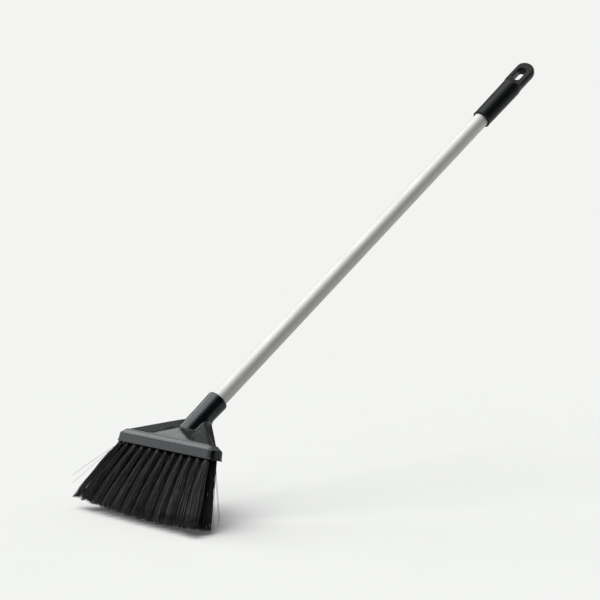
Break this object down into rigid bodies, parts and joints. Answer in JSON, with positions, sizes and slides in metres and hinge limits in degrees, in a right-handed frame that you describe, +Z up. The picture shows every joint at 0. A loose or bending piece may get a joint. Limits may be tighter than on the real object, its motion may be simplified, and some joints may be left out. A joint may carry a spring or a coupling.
{
  "type": "yard brush",
  "caption": "Push-along yard broom: straight moulded head with rows of long flared bristle tufts and a leaning screw-in tube handle with a hanging eye.",
  "frame": {"origin": "Middle of the brush's bounding box in plan, on the floor that the bristle tips stand on.", "axes": "+Z up; +X along the head's length; +Y the way the handle leans back, away from the bristles' front."},
  "size_m": [0.3062, 0.8292, 0.6739],
  "materials": {
    "moulded_head": "satin moulded, dark grey",
    "plug": "moulded, black",
    "tube": "satin",
    "grip": "soft moulded, black",
    "bristle": "extruded filament, black"
  },
  "bodies": {
    "root": {"brush_block": "moulded_head", "threaded_plug": "plug", "handle_tube": "tube", "hanging_grip": "grip", "tuft_front_01": "bristle", "tuft_front_02": "bristle", "tuft_front_03": "bristle", "tuft_front_04": "bristle", "tuft_front_05": "bristle", "tuft_front_06": "bristle", "tuft_front_07": "bristle", "tuft_front_08": "bristle", "tuft_front_09": "bristle", "tuft_front_10": "bristle", "tuft_front_11": "bristle", "tuft_front_12": "bristle", "tuft_second_01": "bristle", "tuft_second_02": "bristle", "tuft_second_03": "bristle", "tuft_second_04": "bristle", "tuft_second_05": "bristle", "tuft_second_06": "bristle", "tuft_second_07": "bristle", "tuft_second_08": "bristle", "tuft_second_09": "bristle", "tuft_second_10": "bristle", "tuft_second_11": "bristle", "tuft_third_01": "bristle", "tuft_third_02": "bristle", "tuft_third_03": "bristle", "tuft_third_04": "bristle", "tuft_third_05": "bristle", "tuft_third_06": "bristle", "tuft_third_07": "bristle", "tuft_third_08": "bristle", "tuft_third_09": "bristle", "tuft_third_10": "bristle", "tuft_third_11": "bristle", "tuft_back_01": "bristle", "tuft_back_02": "bristle", "tuft_back_03": "bristle", "tuft_back_04": "bristle", "tuft_back_05": "bristle", "tuft_back_06": "bristle", "tuft_back_07": "bristle", "tuft_back_08": "bristle", "tuft_back_09": "bristle", "tuft_back_10": "bristle", "tuft_back_11": "bristle"}
  },
  "joints": []
}
